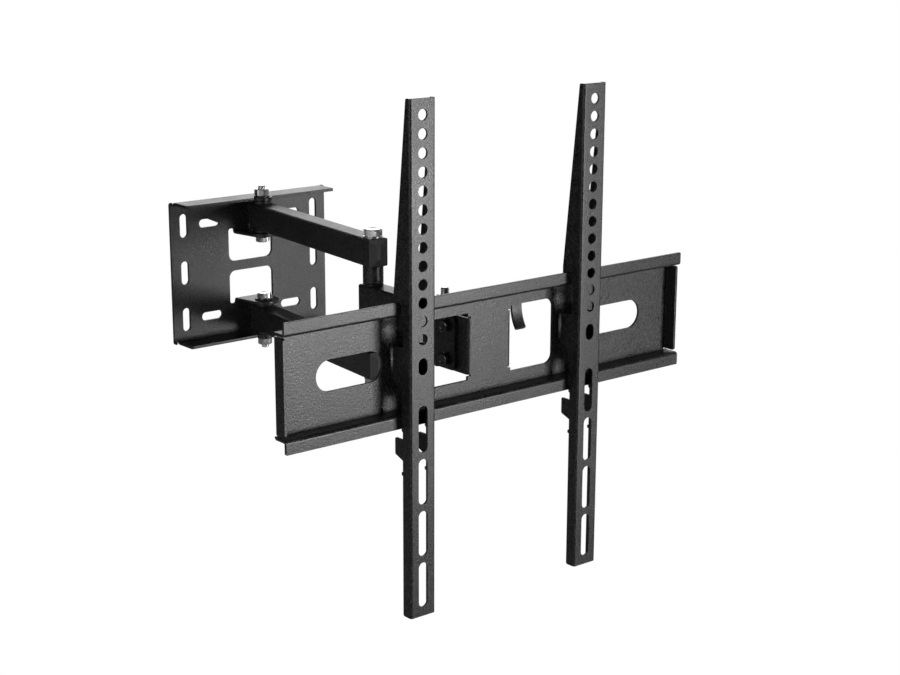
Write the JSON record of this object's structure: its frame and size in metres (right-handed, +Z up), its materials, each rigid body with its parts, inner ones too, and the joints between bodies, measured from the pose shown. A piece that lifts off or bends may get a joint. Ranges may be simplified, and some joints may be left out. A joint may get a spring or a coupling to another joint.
{
  "type": "full motion TV wall mount",
  "caption": "Black steel wall mount with two arm stages, a swivel and tilt head, a long adapter plate and two slotted screen brackets.",
  "frame": {"origin": "centre of the wall plate's back face, on the wall's surface", "axes": "+X along the wall to the viewer's right, +Y into the wall, +Z up"},
  "size_m": [0.435, 0.4312, 0.4306],
  "materials": {
    "black_steel": "fine textured matt powder coat",
    "zinc": "bright zinc plate",
    "dark_zinc": "black zinc plate",
    "black_plastic": "matt moulded",
    "bush_nylon": "smooth moulded"
  },
  "bodies": {
    "wall_side": {"wall_plate": "black_steel", "shoulder_bolts": "zinc", "shoulder_washers": "black_steel", "shoulder_nuts": "zinc"},
    "first_arms": {"upper_arm": "black_steel", "lower_arm": "black_steel", "upper_arm_front_cap": "black_plastic", "upper_arm_rear_cap": "black_plastic", "lower_arm_front_cap": "black_plastic", "lower_arm_rear_cap": "black_plastic", "shoulder_bushes": "bush_nylon", "elbow_bolt": "zinc", "elbow_washers": "zinc", "elbow_nut": "zinc", "upper_elbow_spacer": "black_steel", "lower_elbow_spacer": "black_steel"},
    "second_arm_body": {"second_arm": "black_steel", "second_arm_cap": "black_plastic", "elbow_bushes": "bush_nylon", "swivel_bushes": "bush_nylon"},
    "head": {"head_bracket": "black_steel", "swivel_bolt": "zinc", "swivel_washer": "zinc", "swivel_nut": "zinc"},
    "tilt_plate": {"adapter_plate": "black_steel", "tilt_pivot_bolts": "dark_zinc", "tilt_lock_bolts": "dark_zinc", "tilt_washers": "dark_zinc", "tilt_nuts": "dark_zinc"},
    "left_screen_bracket": {"left_bracket": "black_steel"},
    "right_screen_bracket": {"right_bracket": "black_steel"}
  },
  "joints": [
    {"name": "shoulder", "type": "hinge", "parent": "wall_side", "child": "first_arms", "pos_m": [0, -0.026, 0], "axis": [0, 0, 1], "range_deg": [-90, 90]},
    {"name": "elbow", "type": "hinge", "parent": "first_arms", "child": "second_arm_body", "pos_m": [-0.0207, -0.24101, 0], "axis": [0, 0, -1], "range_deg": [-95, 95]},
    {"name": "swivel", "type": "hinge", "parent": "second_arm_body", "child": "head", "pos_m": [-0.0207, -0.34501, 0], "axis": [0, 0, 1], "range_deg": [-80, 80]},
    {"name": "tilt", "type": "hinge", "parent": "head", "child": "tilt_plate", "pos_m": [-0.0207, -0.38101, 0.0146], "axis": [1, 0, 0], "range_deg": [-5, 15]},
    {"name": "left_slide", "type": "slide", "parent": "tilt_plate", "child": "left_screen_bracket", "axis": [1, 0, 0], "range_m": [-0.1075, 0.0425]},
    {"name": "right_slide", "type": "slide", "parent": "tilt_plate", "child": "right_screen_bracket", "axis": [1, 0, 0], "range_m": [-0.0425, 0.1075]}
  ]
}
